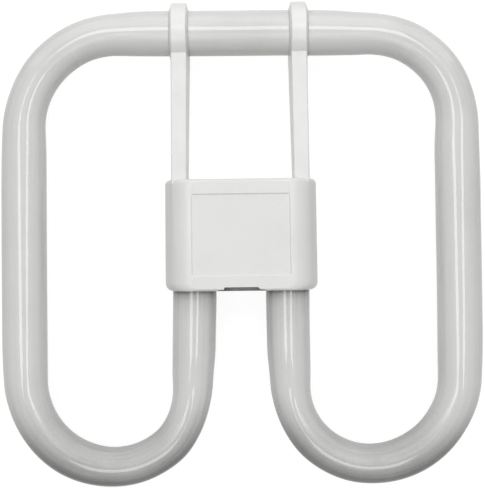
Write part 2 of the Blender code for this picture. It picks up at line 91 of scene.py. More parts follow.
def roundedRings(halfWidth, halfLength, corner, height, y=0.0, lower=None, steps=8):
    # One rounded rectangle for each entry of the arrays: four quarter circles joined by straights. The two corners
    # at the lower end may have a radius of their own.
    lower = corner if lower is None else lower
    halfWidth, halfLength, corner, height, y, lower = np.broadcast_arrays(
        *np.atleast_1d(halfWidth, halfLength, corner, height, y, lower))
    quarter = np.repeat(np.arange(4), steps + 1)
    angle = (quarter + np.tile(np.linspace(0, 1, steps + 1), 4)) * math.pi / 2
    signX = np.where((quarter == 0) | (quarter == 3), 1, -1)
    signY = np.where(quarter < 2, 1, -1)
    radius = np.where(signY > 0, corner[:, None], lower[:, None])
    across = signX * (halfWidth[:, None] - radius) + radius * np.cos(angle)
    along = y[:, None] + signY * (halfLength[:, None] - radius) + radius * np.sin(angle)
    return np.stack([across, along, np.broadcast_to(height[:, None], across.shape)], axis=-1)


def turnedRings(profile, axis, sides):
    # A profile of places along an axis and radii, turned about that axis.
    place, radius = np.array(profile).T
    angle = np.linspace(0, 2 * math.pi, sides, endpoint=False)
    first, second = [index for index in (0, 1, 2) if index != axis]
    rings = np.zeros((len(place), sides, 3))
    rings[..., axis] = place[:, None]
    rings[..., first] = radius[:, None] * np.cos(angle)
    rings[..., second] = radius[:, None] * np.sin(angle)
    return rings


def drawnBetween(first, start, last, end):
    # A straight run along Y between two outlines in X and Z.
    rings = np.zeros((2, len(first), 3))
    rings[0, :, 0], rings[0, :, 2] = first.T
    rings[1, :, 0], rings[1, :, 2] = last.T
    rings[..., 1] = np.array([start, end])[:, None]
    return rings


def easedTable(places, values, at):
    # Smooth curve through a table: cubic pieces whose slopes at the entries are those of the neighbouring chords.
    places, values = np.array(places, float), np.array(values, float)
    slope = np.gradient(values, places)
    left = np.clip(np.searchsorted(places, at) - 1, 0, len(places) - 2)
    gap = places[left + 1] - places[left]
    share = np.clip((at - places[left]) / gap, 0, 1)
    square, cube = share**2, share**3
    return ((2 * cube - 3 * square + 1) * values[left] + (cube - 2 * square + share) * gap * slope[left]
            + (3 * square - 2 * cube) * values[left + 1] + (cube - square) * gap * slope[left + 1])


def combine(piece, steps):
    # Joins helper bodies to the piece or cuts them away, in order, and keeps the result as its mesh.
    for operation, helper in steps:
        modifier = piece.modifiers.new(helper.name, "BOOLEAN")
        modifier.operation = operation
        modifier.solver = "EXACT"
        modifier.object = helper
    bpy.context.view_layer.update()
    result = bpy.data.meshes.new_from_object(piece.evaluated_get(bpy.context.evaluated_depsgraph_get()))
    piece.modifiers.clear()
    piece.data = result
    piece.data.name = piece.name
    for _, helper in steps:
        bpy.data.objects.remove(helper, do_unlink=True)


def softenEdges(piece, width, segments=2, sharper=38):
    # Moulded edges: a small bevel wherever two faces meet at more than the given angle.
    bevel = piece.modifiers.new("soft edges", "BEVEL")
    bevel.width = width
    bevel.segments = segments
    bevel.limit_method = "ANGLE"
    bevel.angle_limit = math.radians(sharper)
    bevel.miter_outer = "MITER_ARC"
    weighted = piece.modifiers.new("even shading", "WEIGHTED_NORMAL")
    weighted.keep_sharp = True
    piece.data.shade_smooth()


def standFor(piece, slot, *nodes):
    # The piece takes the place of CAD nodes.
    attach(piece, bodyName)
    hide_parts(*nodes)


class Wire:
    # One output socket. Shader maths is written with plain operators on it, and each adds a Math node.
    def __init__(self, paint, socket):
        self.paint, self.socket = paint, socket

    def __add__(self, other):
        return self.paint.maths("ADD", self, other)

    def __sub__(self, other):
        return self.paint.maths("SUBTRACT", self, other)

    def __rsub__(self, other):
        return self.paint.maths("SUBTRACT", other, self)

    def __mul__(self, other):
        return self.paint.maths("MULTIPLY", self, other)

    __radd__ = __add__
    __rmul__ = __mul__


class NodeTree:
    # Adds nodes to a tree and links them.
    def __init__(self, tree):
        self.tree = tree

    def node(self, kind, settings=None, sockets=None, output=0):
        made = self.tree.nodes.new(kind)
        for name, value in (settings or {}).items():
            setattr(made, name, value)
        for name, value in (sockets or {}).items():
            self.feed(made.inputs[name], value)
        return Wire(self, made.outputs[output])

    def feed(self, target, value):
        if isinstance(value, Wire):
            self.tree.links.new(value.socket, target)
        else:
            target.default_value = value

    def maths(self, operation, first, second):
        return self.node("ShaderNodeMath", {"operation": operation}, {0: first, 1: second})

    def sawBy(self, *kinds):
        # 1 for the named kinds of ray, otherwise 0.
        path = self.tree.nodes.new("ShaderNodeLightPath")
        seen = 0.0
        for kind in kinds:
            seen = self.maths("MAXIMUM", Wire(self, path.outputs[kind]), seen)
        return seen


class Paint(NodeTree):
    # A material under construction, with its Principled surface ready.
    def __init__(self, name, **surface):
        self.material = bpy.data.materials.new(name)
        self.material.use_nodes = True
        super().__init__(self.material.node_tree)
        self.surface = self.tree.nodes["Principled BSDF"]
        for socket, value in surface.items():
            self.surface.inputs[socket].default_value = value

    def spread(self, value, low, high):
        # 0 up to the low value, 1 from the high one on, eased between them.
        return self.node("ShaderNodeMapRange", {"clamp": True, "interpolation_type": "SMOOTHSTEP"},
                         {"Value": value, "From Min": low, "From Max": high, "To Min": 0.0, "To Max": 1.0})

    def blend(self, share, first, second):
        # Colours are mixed by a Mix node, because a Math node would turn them grey.
        return self.node("ShaderNodeMix", {"data_type": "RGBA", "clamp_factor": True},
                         {"Factor": share, 6: first, 7: second}, output=2)

    def place(self):
        return self.node("ShaderNodeTexCoord", output=3)  # Object

    def uv(self):
        return self.node("ShaderNodeTexCoord", output=2)  # UV

    def stretched(self, vector, scale):
        return self.node("ShaderNodeMapping", {"vector_type": "POINT"}, {"Vector": vector, "Scale": scale})

    def cloud(self, vector, grain, detail, roughness):
        # Soft noise whose lumps are about the given number of metres across.
        return self.node("ShaderNodeTexNoise", {}, {"Vector": vector, "Scale": 1 / grain, "Detail": detail,
                                                    "Roughness": roughness})

    def attribute(self, name):
        return self.node("ShaderNodeAttribute", {"attribute_name": name}, {}, output=2)

    def bump(self, height, distance):
        return self.node("ShaderNodeBump", {}, {"Height": height, "Distance": distance, "Strength": 1.0})

    def finish(self, **varying):
        # Links what changes over the surface to the Principled surface, and gives back the material.
        names = {"colour": "Base Color", "roughness": "Roughness", "alpha": "Alpha", "normal": "Normal"}
        for name, wire in varying.items():
            self.feed(self.surface.inputs[names[name]], wire)
        return self.material


# Colours are linear RGBA, and lengths are in metres.
glassLook = {
    # The thin coating colour is also the colour of painted shade: the thinness attribute holds painted shade along the
    # outer rims, on the outer side of the bends and on the legs below the cap.
    "coating": (0.650, 0.650, 0.634, 1.0), "thinCoatingAndShade": (0.100, 0.101, 0.098, 1.0),
    "stretched": 0.80, "cloudy": 0.34, "streaky": 0.26, "grainy": 0.16, "everywhere": 0.10,  # shares of the thinness
    "lumps": 0.020, "grain": 0.00045, "streakLength": 0.030, "streakWidth": 0.0011,
    "ior": 1.5, "gloss": 0.025, "cloudGloss": 0.01, "flankHaze": 0.40,
    "waviness": 0.00003, "waveLength": 0.035, "waveWidth": 0.009,
}


def coatedGlass():
    # Powder coating seen through glossy glass, darkened in places by painted shade. Thinness with painted shade = the
    # thinness attribute, which also holds painted shade, + clouds + streaks along the tube + fine grain, each times
    # its share. Roughness = gloss + a little of the clouds + attribute "haze" times its share.
    paint = Paint("coated glass", IOR=glassLook["ior"])
    place, uv = paint.place(), paint.uv()
    clouds = paint.cloud(place, glassLook["lumps"], detail=3.0, roughness=0.55)
    grain = paint.cloud(place, glassLook["grain"], detail=2.0, roughness=0.6)
    along = paint.stretched(uv, (1 / glassLook["streakLength"], 1 / glassLook["streakWidth"], 1.0))
    streaks = paint.cloud(along, 1.0, detail=3.0, roughness=0.6)
    thinAndShade = (paint.attribute("thinAndShade") * glassLook["stretched"] + (clouds - 0.5) * glassLook["cloudy"]
            + (streaks - 0.5) * glassLook["streaky"] + (grain - 0.5) * glassLook["grainy"] + glassLook["everywhere"])
    colour = paint.blend(paint.spread(thinAndShade, 0.0, 1.0), glassLook["coating"], glassLook["thinCoatingAndShade"])
    drawn = paint.stretched(uv, (1 / glassLook["waveLength"], 1 / glassLook["waveWidth"], 1.0))
    wave = paint.cloud(drawn, 1.0, detail=1.0, roughness=0.3)
    gloss = (glassLook["gloss"] + (clouds - 0.5) * glassLook["cloudGloss"]
             + paint.attribute("haze") * glassLook["flankHaze"])
    return paint.finish(colour=colour, roughness=gloss, normal=paint.bump(wave, glassLook["waviness"]))


plasticLook = {
    # The second colour is painted shade that greys the cap below the arms.
    "colour": (0.765, 0.765, 0.750, 1.0), "capShadeColour": (0.715, 0.715, 0.702, 1.0), "stain": (0.660, 0.657, 0.640, 1.0),
    "capShadeFrom": 0.030, "capShadeTo": 0.012, "capShadeWobble": 0.01,
    "mottle": 0.010, "mottleShare": 0.8, "stainFrom": 0.35, "stainTo": 0.95,
    "grain": 0.00030, "fineGrain": 0.00012, "grainShare": 0.7, "grainHeight": 0.000004,
    "ior": 1.49, "roughness": 0.32, "mottleGloss": 0.16, "grainGloss": 0.08,
}


def mouldedPlastic():
    # Satin moulded surface: greyed by painted shade towards the legs, on the cap below the arms, stained where
    # mottling + grain is high, with a fine spark-eroded grain, and rubbed patches that shine a little more. The
    # painted shade is eased from one place on Y to another, and roughness = its own + mottling + grain, each less a
    # half and times its share.
    paint = Paint("satin white plastic", IOR=plasticLook["ior"])
    place = paint.place()
    mottle = paint.cloud(place, plasticLook["mottle"], detail=4.0, roughness=0.6)
    grain = paint.cloud(place, plasticLook["grain"], detail=2.0, roughness=0.5)
    fine = paint.cloud(place, plasticLook["fineGrain"], detail=1.0, roughness=0.5)
    along = paint.node("ShaderNodeSeparateXYZ", {}, {"Vector": place}, output=1)
    # Painted shade: the cap is greyer than the arms.
    capShade = paint.spread(along + (mottle - 0.5) * plasticLook["capShadeWobble"], plasticLook["capShadeFrom"],
                        plasticLook["capShadeTo"])
    shadedColour = paint.blend(capShade, plasticLook["colour"], plasticLook["capShadeColour"])
    mixed = mottle * plasticLook["mottleShare"] + grain * (1 - plasticLook["mottleShare"])
    colour = paint.blend(paint.spread(mixed, plasticLook["stainFrom"], plasticLook["stainTo"]), shadedColour,
                         plasticLook["stain"])
    roughness = (plasticLook["roughness"] + (mottle - 0.5) * plasticLook["mottleGloss"]
                 + (grain - 0.5) * plasticLook["grainGloss"])
    height = grain * plasticLook["grainShare"] + fine * (1 - plasticLook["grainShare"])
    return paint.finish(colour=colour, roughness=roughness, normal=paint.bump(height, plasticLook["grainHeight"]))


metalLook = {
    "nickel": (0.74, 0.71, 0.62, 1.0), "dull": (0.58, 0.54, 0.45, 1.0), "nickelRoughness": 0.24,
    "tin": (0.72, 0.71, 0.68, 1.0), "dullTin": (0.52, 0.51, 0.49, 1.0), "tinRoughness": 0.32,
    "lumps": 0.0012, "dullFrom": 0.45, "dullTo": 0.75, "spotGloss": 0.10,
    "marks": (120.0, 120.0, 1 / 0.00012),  # how many there are in a metre along X, Y and Z
    "markGloss": 0.20, "markHeight": 0.000003,
}


def platedMetal(name, bright, dull, roughness):
    # Plated metal: dull spots from a cloud, and fine draw marks round the piece. Roughness = its own + marks + spots,
    # each less a half and times its share.
    paint = Paint(name, Metallic=1.0)
    place = paint.place()
    spots = paint.cloud(place, metalLook["lumps"], detail=4.0, roughness=0.6)
    marks = paint.cloud(paint.stretched(place, metalLook["marks"]), 1.0, detail=2.0, roughness=0.6)
    colour = paint.blend(paint.spread(spots, metalLook["dullFrom"], metalLook["dullTo"]), bright, dull)
    gloss = roughness + (marks - 0.5) * metalLook["markGloss"] + (spots - 0.5) * metalLook["spotGloss"]
    return paint.finish(colour=colour, roughness=gloss, normal=paint.bump(marks, metalLook["markHeight"]))


bulbLook = {
    "clear": (0.70, 0.74, 0.74, 1.0), "hazy": (0.50, 0.53, 0.53, 1.0),
    "patch": 0.003, "hazeFrom": 0.4, "hazeTo": 0.7,
    "ior": 1.5, "roughness": 0.04, "hazeRoughness": 0.12, "alpha": 0.35, "hazeAlpha": 0.35,
}


def clearBulb():
    # Thin clear glass with a light grey haze of getter metal in patches, which is rougher and lets less through.
    paint = Paint("clear bulb glass", IOR=bulbLook["ior"])
    patches = paint.cloud(paint.place(), bulbLook["patch"], detail=3.0, roughness=0.5)
    haze = paint.spread(patches, bulbLook["hazeFrom"], bulbLook["hazeTo"])
    return paint.finish(colour=paint.blend(haze, bulbLook["clear"], bulbLook["hazy"]),
                        roughness=haze * bulbLook["hazeRoughness"] + bulbLook["roughness"],
                        alpha=haze * bulbLook["hazeAlpha"] + bulbLook["alpha"])


boxLook = {
    "film": (0.70, 0.50, 0.12, 1.0), "darkFilm": (0.60, 0.41, 0.08, 1.0), "mottle": 0.002,
    "peel": 0.00025, "peelHeight": 0.000008, "ior": 1.5, "roughness": 0.25, "peelRoughness": 0.2,
}


def castFilm():
    # Moulded box of the capacitor: faint mottling and a fine orange-peel surface.
    paint = Paint("yellow capacitor box", IOR=boxLook["ior"])
    place = paint.place()
    mottle = paint.cloud(place, boxLook["mottle"], detail=3.0, roughness=0.6)
    peel = paint.cloud(place, boxLook["peel"], detail=2.0, roughness=0.5)
    return paint.finish(colour=paint.blend(mottle, boxLook["film"], boxLook["darkFilm"]),
                        roughness=peel * boxLook["peelRoughness"] + boxLook["roughness"],
                        normal=paint.bump(peel, boxLook["peelHeight"]))


sleeveLook = {
    "yarn": (0.78, 0.76, 0.68, 1.0), "gap": (0.50, 0.47, 0.38, 1.0), "pitch": 0.00045, "wavesInPitch": 6,
    "unevenness": 0.3, "yarnHeight": 0.00004, "gapRoughness": 0.95, "yarnShine": 0.15,
}


def wovenSleeve():
    # Braided glass yarn: two crossing sets of diagonal waves, the higher one on top.
    paint = Paint("braided sleeve")
    place = paint.place()
    one, other = (
        paint.node("ShaderNodeTexWave", {"wave_type": "BANDS", "bands_direction": "DIAGONAL"},
                   {"Vector": vector, "Scale": 1 / (sleeveLook["pitch"] * sleeveLook["wavesInPitch"]),
                    "Distortion": sleeveLook["unevenness"]})
        for vector in (place, paint.stretched(place, (-1.0, 1.0, 1.0))))
    weave = paint.maths("MAXIMUM", one, other)
    return paint.finish(colour=paint.blend(weave, sleeveLook["gap"], sleeveLook["yarn"]),
                        roughness=sleeveLook["gapRoughness"] - weave * sleeveLook["yarnShine"],
                        normal=paint.bump(weave, sleeveLook["yarnHeight"]))


glass = coatedGlass()
plastic = mouldedPlastic()
nickel = platedMetal("nickel plated brass", metalLook["nickel"], metalLook["dull"], metalLook["nickelRoughness"])
tinned = platedMetal("tinned wire", metalLook["tin"], metalLook["dullTin"], metalLook["tinRoughness"])
bulbGlass, filmBox, braid = clearBulb(), castFilm(), wovenSleeve()
print("materials are ready")

# The glass tube lies in the plane z = planeZ, with its top bar at +Y and its legs running up into the cap.
tube = {
    "radius": 0.0065, "sideX": 0.0625, "legX": 0.0134, "planeZ": 0.0184, "topY": 0.0605, "bendY": -0.0390,
    "cornerBend": 0.0279, "shoulderY": 0.0020, "pinchY": 0.0055, "sealEndY": 0.0105,
    "sealHalfThick": 0.0015, "sealHalfWide": 0.0055, "sealSquare": 0.4,
    "tipRadius": 0.0013, "tipLength": 0.0028, "tipFrom": math.radians(80),
    "sides": 96, "bendSteps": 72, "cornerSteps": 44, "tipRings": 7, "shoulderRings": 15, "legRings": 24,
    "sideRings": 56,
    # How much thinner the coating is in stretched glass, all round and on the outside, and how the corners compare.
    # The share on the outside also darkens the outer side of the bends as painted shade.
    "thinRound": 0.40, "thinAndShadeOutside": 0.60, "outsidePower": 1.5, "cornerPull": 0.12, "pullPower": 6,
    # Painted shade: a darker line along the outer rim, below the top.
    "rimShade": 0.25, "rimShadePower": 8, "rimShadeBelow": 0.050, "rimShadeFade": 0.030,
    # Painted shade on the legs below the cap: share and reach from the cap's lower end, on the legs only. The short
    # reach is a painted contact shadow under the cap's edge.
    "legShadeEnds": ((0.40, 0.007), (0.60, 0.0009)), "legShadeFrom": -0.0132, "legShadeHalfWidth": 0.025, "legShadeBelow": 0.03,
    # Less shine on the inner flank, also along the top.
    "topHaze": 0.8, "topHazeAbove": 0.045, "topHazeFade": 0.015, "flankFade": 0.18,
    # The hand of the bender: millimetres along the glass from the middle of the top, share of the full thickness,
    # and millimetres by which the left and the right half stray outwards from the drawing.
    "bent": [
        (0, 1.000, 0.00, 0.00), (12, 1.000, 0.06, -0.02), (24, 0.996, 0.14, -0.19), (30, 0.975, 0.11, -0.32),
        (34.6, 0.938, 0.00, -0.50), (39.5, 0.913, -0.05, -0.31), (44.3, 0.909, -0.02, 0.08),
        (49.2, 0.909, -0.10, 0.42), (54.1, 0.912, -0.17, 0.56), (58.9, 0.912, -0.26, 0.66),
        (63.8, 0.908, -0.38, 0.58), (68.7, 0.909, -0.49, 0.33), (73.5, 0.930, -0.55, 0.02),
        (78.4, 0.957, -0.58, -0.20), (83, 0.982, -0.53, -0.28), (93, 0.998, -0.40, -0.16),
        (105, 1.000, -0.30, -0.13), (117, 1.000, -0.21, -0.05), (129, 1.000, -0.15, -0.02),
        (141, 0.998, -0.12, -0.06), (150, 0.972, -0.28, -0.24), (156.4, 0.946, -0.58, -0.47),
        (162.9, 0.930, -0.65, -0.72), (169.3, 0.924, -0.56, -0.70), (175.7, 0.920, -0.40, -0.62),
        (182.1, 0.902, -0.28, -0.44), (188.6, 0.878, -0.08, -0.16), (195, 0.868, 0.12, 0.16),
        (201.4, 0.854, 0.22, 0.31), (207.9, 0.846, 0.28, 0.37), (214.3, 0.832, -0.24, 0.17),
        (220.7, 0.850, -0.76, -0.08), (227.1, 0.900, -0.92, -0.19), (235.1, 0.952, -0.52, 0.12),
        (242.1, 0.958, -0.32, 0.20), (249.1, 0.965, -0.13, 0.24), (254, 0.970, -0.06, 0.20), (262, 1.000, 0.00, 0.00),
        (300, 1.000, 0.00, 0.00),
    ],
}


def bendStations(centre, bend, start, end, steps, pull=1.0):
    # Places on a bend: centre + bend * (cos, sin) of the angle. The glass is stretched most in its middle, by the pull
    # times 1 - cos^6, where the cosine goes once from 1 to -1 along the bend.
    share = np.linspace(0, 1, steps + 1)
    angle = start + (end - start) * share
    full = np.full_like(share, tube["radius"])
    stretch = pull * (1 - np.cos(math.pi * share) ** tube["pullPower"])
    return np.stack([centre[0] + bend * np.cos(angle), centre[1] + bend * np.sin(angle), angle, full, full,
                     np.ones_like(share), stretch], axis=1)


def straightStations(start, end, angle, count):
    # Places strictly between the ends of a straight run: start + (end - start) * share.
    share = np.linspace(0, 1, count + 2)[1:-1]
    x, y = (start[index] + (end[index] - start[index]) * share for index in (0, 1))
    full = np.full_like(share, tube["radius"])
    return np.stack([x, y, np.full_like(share, angle), full, full, np.ones_like(share), np.zeros_like(share)], axis=1)


def sealStations(x, angle):
    # From the round tip of the exhaust tube over the flat pinch and the shoulder to the round tube. Along the shoulder
    # the section goes from the pinch's to the tube's by 3 share^2 - 2 share^3.
    turn = np.linspace(tube["tipFrom"], 0, tube["tipRings"])
    tipY = tube["sealEndY"] + tube["tipLength"] - tube["tipRadius"] * (1 - np.sin(turn))
    tipSize = tube["tipRadius"] * np.cos(turn)
    tip = [(y, size, size, 1.0) for y, size in zip(tipY, tipSize)]
    tip.append((tube["sealEndY"], tube["tipRadius"], tube["tipRadius"], 1.0))
    flat = (tube["sealHalfThick"], tube["sealHalfWide"], tube["sealSquare"])
    tip.append((tube["sealEndY"], *flat))
    share = np.linspace(0, 1, tube["shoulderRings"])
    ease = share * share * (3 - 2 * share)
    y = tube["pinchY"] + (tube["shoulderY"] - tube["pinchY"]) * share
    fullSize = (tube["radius"], tube["radius"], 1.0)
    across, up, square = (start + (end - start) * ease for start, end in zip(flat, fullSize))
    rows = np.vstack([np.array(tip), np.stack([y, across, up, square], axis=1)])
    ones = np.ones(len(rows))
    return np.stack([x * ones, rows[:, 0], angle * ones, rows[:, 1], rows[:, 2], rows[:, 3], 0 * ones], axis=1)


def tubeStations():
    # Right leg, right loop, top, left loop, left leg. Each row holds x, y, side angle, two half widths, squareness
    # and stretch.
    pi, leg, side, corner = math.pi, tube["legX"], tube["sideX"], tube["cornerBend"]
    top, bendY, shoulderY = tube["topY"], tube["bendY"], tube["shoulderY"]
    loopX, loop = (side + leg) / 2, (side - leg) / 2
    cornerX, cornerY = side - corner, top - corner
    return np.vstack([
        sealStations(leg, pi),
        straightStations((leg, shoulderY), (leg, bendY), pi, tube["legRings"]),
        bendStations((loopX, bendY), loop, pi, 2 * pi, tube["bendSteps"]),
        straightStations((side, bendY), (side, cornerY), 0, tube["sideRings"]),
        bendStations((cornerX, cornerY), corner, 0, pi / 2, tube["cornerSteps"], tube["cornerPull"]),
        straightStations((cornerX, top), (-cornerX, top), pi / 2, tube["sideRings"]),
        bendStations((-cornerX, cornerY), corner, pi / 2, pi, tube["cornerSteps"], tube["cornerPull"]),
        straightStations((-side, cornerY), (-side, bendY), pi, tube["sideRings"]),
        bendStations((-loopX, bendY), loop, pi, 2 * pi, tube["bendSteps"]),
        straightStations((-leg, bendY), (-leg, shoulderY), 2 * pi, tube["legRings"]),
        sealStations(-leg, 2 * pi)[::-1],
    ])


def coatTube(mesh, x, y, stretch, turn):
    # Two layers for the glass material, where c is how far a point faces outwards. Thinness with painted shade =
    # stretch * (share all round + share outside * c^1.5) + share of the painted rim shade * c^8 below the top + each
    # share of painted shade on the legs * e^(-distance from the cap / its reach). The outside share is thinner coating
    # in the stretched bends and painted shade on their outer side. Haze = the larger of stretch and the top's share,
    # on the inner flank, which was pressed together in the bends while hot and shines less.
    outward = np.clip(np.cos(turn), 0, 1)
    # Painted shade along the outer rim, below the top.
    belowTop = np.clip((tube["rimShadeBelow"] - y) / tube["rimShadeFade"], 0, 1)
    # Painted shade on the legs just below the cap, with a painted contact shadow at its edge.
    onLegs = (np.abs(x) < tube["legShadeHalfWidth"]) * (y < tube["legShadeBelow"])
    toCap = np.minimum(y - tube["legShadeFrom"], 0)
    legShade = sum(share * np.exp(toCap / reach) for share, reach in tube["legShadeEnds"]) * onLegs
    thinAndShade = np.clip(stretch * (tube["thinRound"] + tube["thinAndShadeOutside"] * outward ** tube["outsidePower"])
                   + tube["rimShade"] * belowTop * outward ** tube["rimShadePower"] + legShade, 0, 1)
    nearTop = tube["topHaze"] * np.clip((y - tube["topHazeAbove"]) / tube["topHazeFade"], 0, 1)
    haze = np.maximum(stretch, nearTop) * np.clip(-np.cos(turn) / tube["flankFade"], 0, 1)
    for name, values in (("thinAndShade", thinAndShade), ("haze", haze)):
        layer = mesh.attributes.new(name, "FLOAT", "POINT")
        values = np.broadcast_to(values, (len(y), len(turn)))
        layer.data.foreach_set("value", values.astype(np.float32).ravel())


def unrollTube(mesh, length):
    # UV in metres: length along the tube, and the way round it. On the faces that cross the seam the way round goes
    # on instead of starting at 0 again.
    aroundStep = 2 * math.pi * tube["radius"] / tube["sides"]
    loopVertex = np.zeros(len(mesh.loops), np.int32)
    mesh.loops.foreach_get("vertex_index", loopVertex)
    row, column = np.divmod(loopVertex, tube["sides"])
    faceOf = np.repeat(np.arange(len(mesh.polygons)), [polygon.loop_total for polygon in mesh.polygons])
    highest = np.zeros(len(mesh.polygons), np.int64)
    np.maximum.at(highest, faceOf, column)
    column = np.where((column == 0) & (highest[faceOf] == tube["sides"] - 1), tube["sides"], column)
    uv = np.stack([length[row], column * aroundStep], axis=1)
    mesh.uv_layers.new(name="UVMap").data.foreach_set("uv", uv.astype(np.float32).ravel())


def makeTube():
    # Ring = centre + outward * a * cos^s + up * b * sin^s, with the signs kept, round each station of the path. The
    # table first moves each centre outwards and thins the glass.
    x, y, angle, across, up, square, stretch = tubeStations().T
    length = np.r_[0, np.cumsum(np.hypot(np.diff(x), np.diff(y)))]
    far = np.abs(length - length[-1] / 2) * 1000
    place, thickness, left, right = np.array(tube["bent"]).T
    stray = np.where(x < 0, easedTable(place, left, far), easedTable(place, right, far)) / 1000
    x, y = x + np.cos(angle) * stray, y + np.sin(angle) * stray
    across, up = (size * easedTable(place, thickness, far) for size in (across, up))
    x, y, angle, across, up, square, stretch = (row[:, None] for row in (x, y, angle, across, up, square, stretch))
    turn = np.linspace(0, 2 * math.pi, tube["sides"], endpoint=False)
    cosine, sine = (np.sign(part) * np.abs(part) ** square for part in (np.cos(turn), np.sin(turn)))
    rings = np.stack([x + np.cos(angle) * across * cosine, y + np.sin(angle) * across * cosine,
                      tube["planeZ"] + up * sine], axis=-1)
    made = skinRings("glass_tube", rings, glass)
    coatTube(made.data, x, y, stretch, turn)
    unrollTube(made.data, length)
    standFor(made, "coated_glass", "discharge_tube")


makeTube()
print("glass tube is made")

# The front cover is one moulding: the cap's front shell, two arms and their clips.
cap = {
    "y": 0.0026, "halfWidth": 0.0216, "halfLength": 0.01585, "front": 0.0272, "rim": 0.0117,
    "sideCurve": 0.0082, "endCurve": 0.0010, "corner": 0.0014, "lowerCorner": 0.0024, "flare": 0.00025,
    "sideWall": 0.0012, "endWall": 0.0014, "frontWall": 0.0020, "innerCurve": 0.0052, "holeRadius": 0.0068,
    "fieldHalfWidth": 0.01395, "fieldHalfLength": 0.0117, "fieldDepth": 0.0003, "fieldSlope": 0.0003,
    "fieldCorner": 0.0004, "fieldFill": 0.010, "fieldLip": 0.00002, "domeFrom": math.radians(85.5),
    "domeRings": 26, "innerRings": 10, "holeSides": 160, "slotSteps": 60, "cutPast": 0.002,
    "notchDepth": 0.0060, "edge": 0.00012,
    # millimetres across the cap and up from its lower end
    "notch": [(-6.8, 0.08), (6.9, 0.08), (6.9, 0.26), (5.2, 0.40), (4.7, 1.10), (-4.85, 1.10), (-5.05, 0.34),
              (-6.8, 0.24)],
}
arm = {
    "clipX": 0.0171, "capX": 0.01743, "front": 0.02475, "back": 0.01235, "wall": 0.0012,
    "clipWidths": (0.0045, 0.0056), "capWidths": (0.0044, 0.0048),  # at the front and at the back
    "edge": 0.0004, "edgeSteps": 6, "clipInner": 0.0068, "clipOuter": 0.0088, "clipRoot": 0.0056,
    "clipFace": 0.0044, "clipSink": 0.0013, "clipWrap": math.radians(122), "steps": 56,
}


def coverLoft():
    # Rounded rectangles from the middle of the sunken field outwards, over the front, down the sides to the rim, and
    # up the inside. Towards the sides the front is a quarter circle, x = middle + curve * cos and z = front - curve +
    # curve * sin, and the ends are drawn in by end - sqrt(end^2 - (height above the end's curve)^2).
    curve, end, slope, fill = cap["sideCurve"], cap["endCurve"], cap["fieldSlope"], cap["fieldFill"]
    middle = cap["halfWidth"] - curve
    floor = cap["front"] - cap["fieldDepth"]
    grow = np.array([-fill, -slope, 0])
    field = roundedRings(cap["fieldHalfWidth"] + grow, cap["fieldHalfLength"] + grow, cap["fieldCorner"],
                         np.array([floor, floor, cap["front"] - cap["fieldLip"]]))
    turn = np.linspace(cap["domeFrom"], 0, cap["domeRings"])
    x = middle + curve * np.cos(turn)
    z = cap["front"] - curve + curve * np.sin(turn)
    over = np.clip(z - (cap["front"] - end), 0, None)
    inset = end - np.sqrt(np.clip(end**2 - over**2, 0, None))
    dome = roundedRings(x, cap["halfLength"] - inset, cap["corner"], z, lower=cap["lowerCorner"])
    rim = roundedRings(cap["halfWidth"], cap["halfLength"], cap["corner"], cap["rim"], lower=cap["lowerCorner"])
    innerWidth, innerLength = cap["halfWidth"] - cap["sideWall"], cap["halfLength"] - cap["endWall"]
    roof, inner = cap["front"] - cap["frontWall"], cap["innerCurve"]
    turn = np.linspace(0, math.radians(90), cap["innerRings"])
    inside = roundedRings(np.r_[innerWidth, innerWidth - inner + inner * np.cos(turn)], innerLength,
                          cap["corner"] / 2, np.r_[cap["rim"], roof - inner + inner * np.sin(turn)])
    rings = np.concatenate([field, dome, rim, inside])
    # The sides flare a little towards the lower end, as the square of the share of the way down.
    down = np.clip(-rings[..., 1] / cap["halfLength"], 0, 1)
    rings[..., 0] += np.sign(rings[..., 0]) * cap["flare"] * down**2 * (np.abs(rings[..., 0]) > middle)
    rings[..., 1] += cap["y"]
    return skinRings("front_moulding", rings, plastic)


def armOutline(x, widths, inset=0.0):
    # Section of an arm, wider at its back, with two rounded front edges.
    halfFront, halfBack = (width / 2 - inset for width in widths)
    front, back = arm["front"] - inset, arm["back"] - inset
    edge, steps = min(arm["edge"], halfFront / 2), arm["edgeSteps"]
    return np.vstack([
        arcPoints((x + halfFront - edge, front - edge), edge, 0, math.pi / 2, steps),
        arcPoints((x - halfFront + edge, front - edge), edge, math.pi / 2, math.pi, steps),
        [(x - halfBack, back), (x + halfBack, back)],
    ])


def armRun(side, start, end, inset=0.0):
    # The part of an arm between two places on Y. It leaves the cap a little outside its clip, and widens on its way.
    capEnd, clipEnd = cap["y"] + cap["halfLength"], tube["topY"] - arm["clipOuter"]
    outlines = []
    for y in (start, end):
        share = (y - capEnd) / (clipEnd - capEnd)
        x = side * (arm["capX"] + (arm["clipX"] - arm["capX"]) * share)
        widths = [first + (last - first) * share for first, last in zip(arm["capWidths"], arm["clipWidths"])]
        outlines.append(armOutline(x, widths, inset))
    return drawnBetween(outlines[0], start, outlines[1], end)


